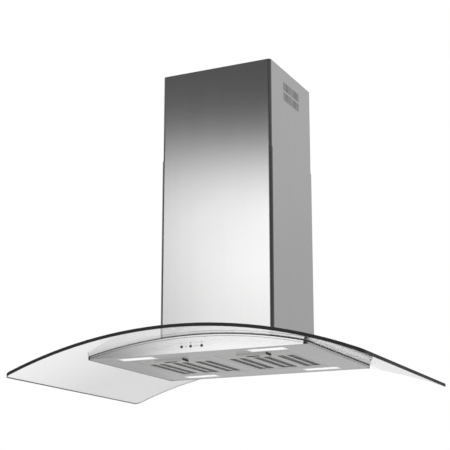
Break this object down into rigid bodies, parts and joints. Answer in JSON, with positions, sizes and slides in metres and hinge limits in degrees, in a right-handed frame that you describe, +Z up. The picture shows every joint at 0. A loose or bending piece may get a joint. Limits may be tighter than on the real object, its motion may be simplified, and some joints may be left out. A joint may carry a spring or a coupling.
{
  "type": "curved glass range hood",
  "caption": "Ceiling-hung island range hood: bowed glass canopy over a slim steel body with lamps, filters and push buttons, under a telescopic box chimney.",
  "frame": {"origin": "middle of the ceiling plate's top face, where the hood hangs from the ceiling, on the chimney's axis", "axes": "+Z up, towards the ceiling; +X along the long side of the glass, to the right as the user faces the buttons; +Y from the buttons towards the rear"},
  "size_m": [0.9, 0.64, 0.7912],
  "materials": {
    "glass": "clear polished tempered",
    "frosted_lens": "frosted white",
    "chimney_steel": "vertical brushed satin",
    "canopy_steel": "brushed satin",
    "filter_steel": "brushed satin",
    "grease_mesh": "layered expanded mesh",
    "galvanised_steel": "galvanised",
    "fastener_steel": "plated",
    "bushing_bronze": "sintered",
    "black_rubber": "matte",
    "black_plastic": "fine texture",
    "dark_plastic": "moulded",
    "white_plastic": "satin",
    "lamp_aluminium": "satin",
    "motor_paint": "satin",
    "circuit_board": "lacquered",
    "green_light": "clear lens",
    "speed_light": "clear lens"
  },
  "bodies": {
    "hood": {"base_plate": "galvanised_steel", "blower_rails": "galvanised_steel", "cable_gland": "black_plastic", "canopy_band": "canopy_steel", "ceiling_plate": "galvanised_steel", "control_board": "circuit_board", "control_guide": "black_plastic", "damper_pin": "fastener_steel", "front_fascia": "canopy_steel", "glass_bolts": "fastener_steel", "glass_canopy": "glass", "lamp_boards": "circuit_board", "lamp_driver": "white_plastic", "lamp_housing_front_left": "lamp_aluminium", "lamp_housing_front_right": "lamp_aluminium", "lamp_housing_rear_left": "lamp_aluminium", "lamp_housing_rear_right": "lamp_aluminium", "lamp_lens_front_left": "frosted_lens", "lamp_lens_front_right": "frosted_lens", "lamp_lens_rear_left": "frosted_lens", "lamp_lens_rear_right": "frosted_lens", "lower_chimney": "chimney_steel", "lower_posts": "galvanised_steel", "motor": "motor_paint", "motor_bracket": "galvanised_steel", "motor_bushes": "bushing_bronze", "outlet_adapter": "dark_plastic", "outlet_collar": "dark_plastic", "perimeter_gasket": "black_rubber", "post_screws": "fastener_steel", "power_board": "circuit_board", "power_box": "black_plastic", "power_box_lid": "black_plastic", "power_light": "green_light", "run_capacitor": "white_plastic", "saddle_ring": "black_plastic", "scroll_sides": "galvanised_steel", "scroll_wrap": "galvanised_steel", "speed_lights": "speed_light", "throat_gasket": "black_rubber", "top_deck": "galvanised_steel", "underside_panel": "canopy_steel", "upper_posts": "galvanised_steel"},
    "upper_cover": {"upper_chimney": "chimney_steel"},
    "left_filter": {"grease_filter_left": "filter_steel", "filter_mesh_left": "grease_mesh", "filter_pull_left": "filter_steel", "filter_grip_left": "black_plastic"},
    "right_filter": {"grease_filter_right": "filter_steel", "filter_mesh_right": "grease_mesh", "filter_pull_right": "filter_steel", "filter_grip_right": "black_plastic"},
    "off_button": {"button_off": "black_plastic"},
    "speed_button": {"button_speed": "black_plastic"},
    "light_button": {"button_light": "black_plastic"},
    "rotor": {"blower_impeller": "black_plastic", "impeller_rims": "black_plastic", "motor_shaft": "fastener_steel"},
    "front_flap": {"damper_flap_front": "dark_plastic"},
    "rear_flap": {"damper_flap_rear": "dark_plastic"}
  },
  "joints": [
    {"name": "upper_cover_slide", "type": "slide", "parent": "hood", "child": "upper_cover", "axis": [0, 0, 1], "range_m": [-0.18, 0]},
    {"name": "left_filter_hinge", "type": "hinge", "parent": "hood", "child": "left_filter", "pos_m": [-0.109, 0.0916, -0.744], "axis": [1, 0, 0], "range_deg": [0, 75]},
    {"name": "right_filter_hinge", "type": "hinge", "parent": "hood", "child": "right_filter", "pos_m": [0.109, 0.0916, -0.744], "axis": [1, 0, 0], "range_deg": [0, 75]},
    {"name": "off_button_press", "type": "slide", "parent": "hood", "child": "off_button", "axis": [0, 1, 0], "range_m": [0, 0.001], "stiffness_N_per_m": 1500},
    {"name": "speed_button_press", "type": "slide", "parent": "hood", "child": "speed_button", "axis": [0, 1, 0], "range_m": [0, 0.001], "stiffness_N_per_m": 1500},
    {"name": "light_button_press", "type": "slide", "parent": "hood", "child": "light_button", "axis": [0, 1, 0], "range_m": [0, 0.001], "stiffness_N_per_m": 1500},
    {"name": "rotor_spin", "type": "hinge", "parent": "hood", "child": "rotor", "pos_m": [0, -0.03, -0.5987], "axis": [1, 0, 0], "continuous": true},
    {"name": "front_flap_hinge", "type": "hinge", "parent": "hood", "child": "front_flap", "pos_m": [0, 0, -0.4637], "axis": [-1, 0, 0], "range_deg": [0, 78]},
    {"name": "rear_flap_hinge", "type": "hinge", "parent": "hood", "child": "rear_flap", "pos_m": [0, 0, -0.4637], "axis": [1, 0, 0], "range_deg": [0, 78]}
  ]
}
